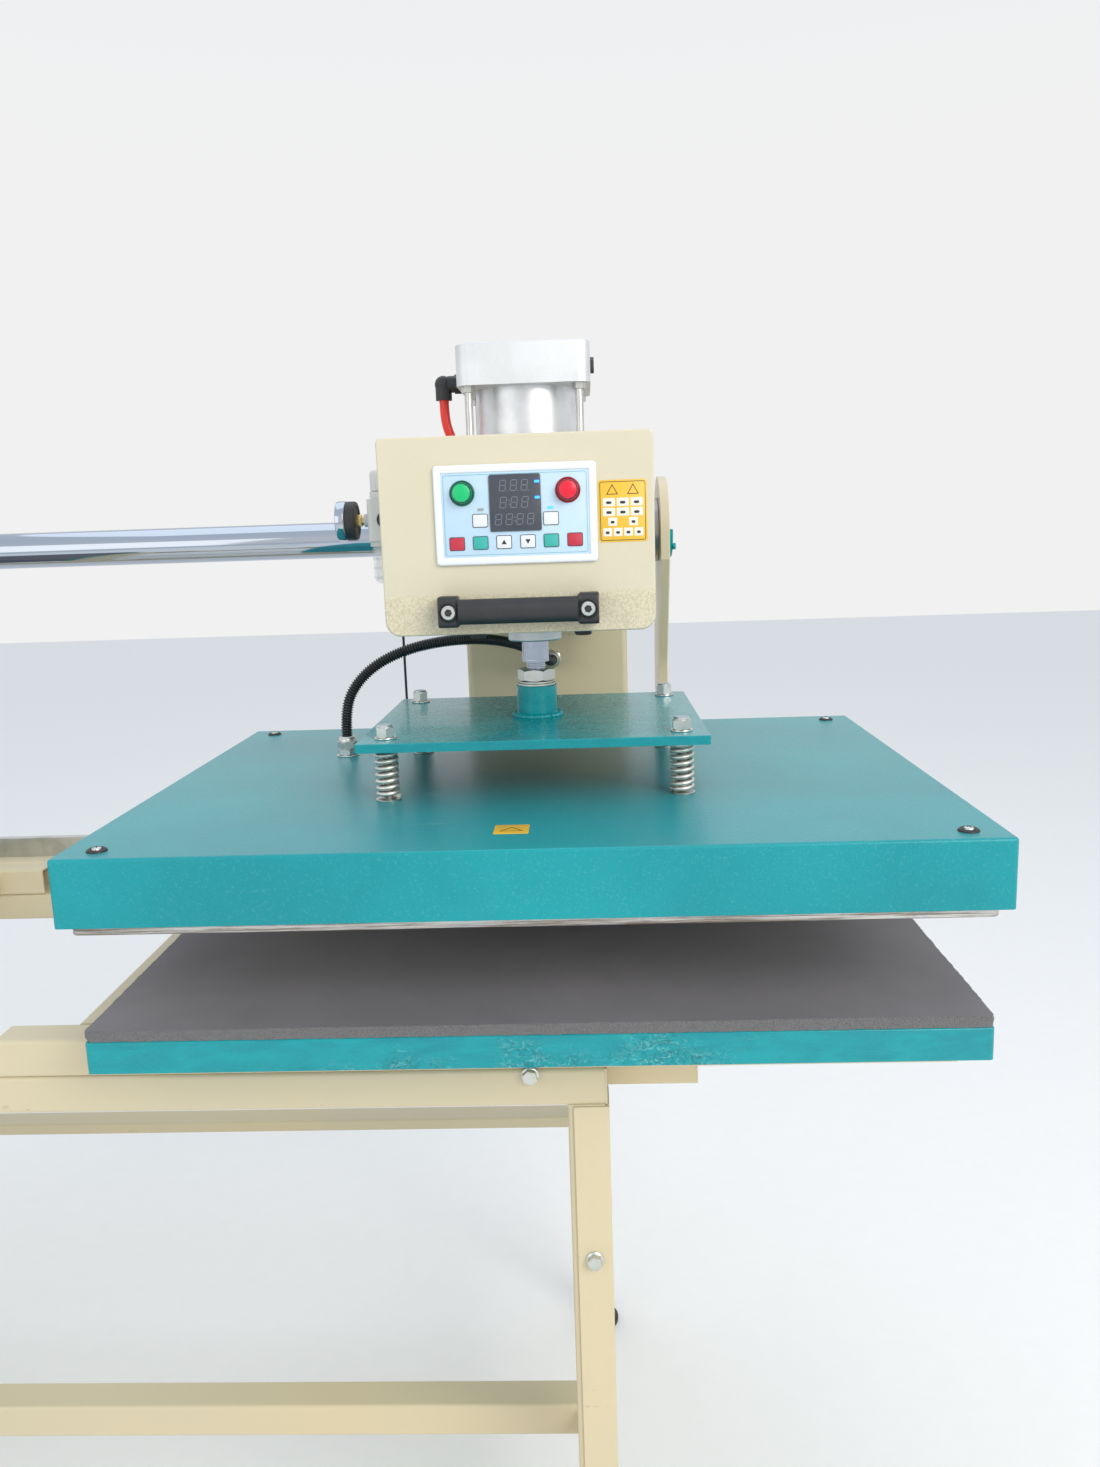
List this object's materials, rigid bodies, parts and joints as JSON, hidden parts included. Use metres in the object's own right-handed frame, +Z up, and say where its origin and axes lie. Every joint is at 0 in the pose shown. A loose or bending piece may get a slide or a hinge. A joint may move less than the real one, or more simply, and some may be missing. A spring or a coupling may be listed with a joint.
{
  "type": "twin-station pneumatic shuttle heat press",
  "caption": "Free-standing pneumatic heat press: a heated plate on a head that slides on a rear shaft between two padded tables and is pressed down by an air cylinder",
  "frame": {"origin": "on the floor under the middle of the machine's overall footprint", "axes": "+Z up, +X to the right along the guide shaft, the operator stands on the -Y side"},
  "size_m": [2.124, 0.81, 1.467],
  "materials": {
    "cream_paint": "warm cream gloss powder coat with fine orange peel",
    "teal_paint": "glossy teal enamel over steel",
    "teal_textured": "teal fine-texture powder coat",
    "bright_steel": "bright drawn steel",
    "machined_steel": "turned steel",
    "chrome": "ground and hard-chromed",
    "cast_aluminium": "cast and machined aluminium",
    "zinc": "bright zinc-plated steel",
    "spring_steel": "nickel-plated spring wire",
    "brass": "nickel-plated and bare brass",
    "black_plastic": "moulded black plastic",
    "grey_plastic": "pale grey moulded plastic and die casting",
    "white_plastic": "white frame with a satin film",
    "clear_plastic": "clear polycarbonate",
    "dark_window": "smoked window",
    "green_plastic": "green push button",
    "red_plastic": "red push button",
    "red_hose": "red polyurethane hose",
    "black_rubber": "black rubber",
    "sponge": "heat-proof silicone sponge, dark grey",
    "blanket": "glass wool blanket"
  },
  "bodies": {
    "frame": {"legs": "cream_paint", "leg_face_plates": "cream_paint", "side_frame_bars": "cream_paint", "frame_stretchers": "cream_paint", "table_beams": "cream_paint", "table_cross_tubes": "cream_paint", "table_side_rails": "cream_paint", "main_beam": "cream_paint", "guide_bar": "bright_steel", "board_packers": "black_rubber", "table_boards": "teal_paint", "table_pads": "sponge", "right_end_plate": "cream_paint", "left_end_plate": "cream_paint", "guide_shaft": "chrome", "shaft_end_flanges": "machined_steel", "stop_buffers": "black_rubber", "levelling_feet": "black_rubber", "tube_end_caps": "cream_paint", "frame_bolts": "zinc"},
    "carriage": {"carriage_column": "cream_paint", "linear_bearings": "machined_steel", "head_arm": "cream_paint", "head_cover": "cream_paint", "cylinder_tube": "cast_aluminium", "cylinder_caps": "cast_aluminium", "tie_rods": "bright_steel", "rod_gland": "cast_aluminium", "air_fittings": "black_plastic", "air_hose": "red_hose", "regulator_body": "grey_plastic", "regulator_bowl": "clear_plastic", "gauge_case": "black_plastic", "gauge_glass": "clear_plastic", "control_panel": "white_plastic", "display_window": "dark_window", "head_handle": "black_plastic", "head_screws": "zinc", "roller_bracket": "cream_paint", "valve_box": "cream_paint", "sensor_lead": "black_rubber", "position_sensor": "brass", "column_gland": "zinc"},
    "platen": {"heater_cover": "teal_textured", "heating_plate": "cast_aluminium", "insulation_blanket": "blanket", "cover_screws": "zinc", "press_studs": "zinc", "press_springs": "spring_steel", "platen_gland": "zinc", "conduit": "black_plastic"},
    "ram": {"ram_plate": "teal_paint", "piston_rod": "chrome", "rod_nut": "zinc"},
    "start_button": {"start_button": "green_plastic"},
    "stop_button": {"stop_button": "red_plastic"},
    "pressure_knob": {"pressure_knob": "black_plastic"},
    "gauge_needle": {"gauge_needle": "black_plastic"},
    "front_guide_roller": {"front_guide_roller": "machined_steel"},
    "rear_guide_roller": {"rear_guide_roller": "machined_steel"}
  },
  "joints": [
    {"name": "carriage_slide", "type": "slide", "parent": "frame", "child": "carriage", "axis": [-1, 0, 0], "range_m": [0, 1.284]},
    {"name": "platen_stroke", "type": "slide", "parent": "carriage", "child": "platen", "axis": [0, 0, -1], "range_m": [0, 0.0885], "deforming": ["conduit"]},
    {"name": "spring_squeeze", "type": "slide", "parent": "platen", "child": "ram", "axis": [0, 0, -1], "range_m": [0, 0.012], "deforming": ["press_springs"]},
    {"name": "start_button_press", "type": "slide", "parent": "carriage", "child": "start_button", "axis": [0, 1, 0], "range_m": [0, 0.003], "stiffness_N_per_m": 700},
    {"name": "stop_button_press", "type": "slide", "parent": "carriage", "child": "stop_button", "axis": [0, 1, 0], "range_m": [0, 0.003], "stiffness_N_per_m": 700},
    {"name": "pressure_knob_turn", "type": "hinge", "parent": "carriage", "child": "pressure_knob", "pos_m": [0.483, -0.083, 1.335], "axis": [0, 0, 1], "continuous": true},
    {"name": "gauge_needle_turn", "type": "hinge", "parent": "carriage", "child": "gauge_needle", "pos_m": [0.4376, -0.083, 1.3], "axis": [-1, 0, 0], "range_deg": [0, 270]},
    {"name": "front_roller_spin", "type": "hinge", "parent": "carriage", "child": "front_guide_roller", "pos_m": [0.642, 0.3027, 0.84], "axis": [0, 0, 1], "continuous": true},
    {"name": "rear_roller_spin", "type": "hinge", "parent": "carriage", "child": "rear_guide_roller", "pos_m": [0.642, 0.3473, 0.84], "axis": [0, 0, 1], "continuous": true}
  ],
  "couplings": [
    {"joint": "front_roller_spin", "follows": "carriage_slide", "rad_per_m": -62.5},
    {"joint": "rear_roller_spin", "follows": "carriage_slide", "rad_per_m": 62.5}
  ]
}
